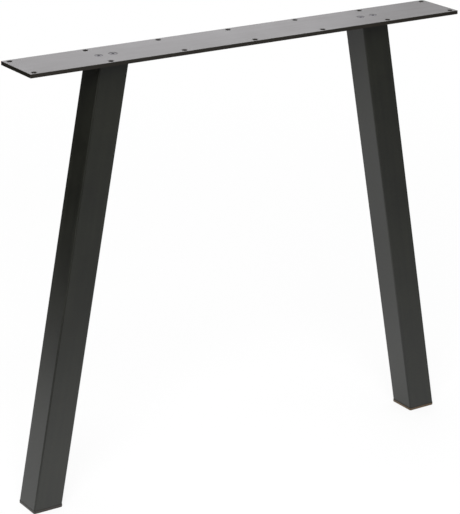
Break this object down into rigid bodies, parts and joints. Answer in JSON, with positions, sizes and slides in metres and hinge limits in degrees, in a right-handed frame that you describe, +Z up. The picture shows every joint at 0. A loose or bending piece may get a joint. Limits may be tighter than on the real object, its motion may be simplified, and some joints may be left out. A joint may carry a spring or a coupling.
{
  "type": "trestle table leg",
  "caption": "Open steel trestle leg for a table: a drilled flat top plate bolted to square tubes that splay outwards and stand on moulded foot caps.",
  "frame": {"origin": "on the floor under the middle of the top plate", "axes": "+X along the top plate, +Y from front to back across it, +Z up"},
  "size_m": [0.805, 0.094, 0.721],
  "materials": {
    "powder_coated_plate": "satin black polyester powder coat",
    "powder_coated_tube": "satin black polyester powder coat",
    "bolt_steel": "black oxide, oiled",
    "cap_plastic": "moulded black polyethylene"
  },
  "bodies": {
    "root": {"top_plate": "powder_coated_plate", "leg_tube_left": "powder_coated_tube", "leg_tube_right": "powder_coated_tube", "head_plate_left": "powder_coated_tube", "head_plate_right": "powder_coated_tube", "bolt_left_outer": "bolt_steel", "bolt_left_inner": "bolt_steel", "bolt_right_inner": "bolt_steel", "bolt_right_outer": "bolt_steel", "foot_cap_left": "cap_plastic", "foot_cap_right": "cap_plastic"}
  },
  "joints": []
}
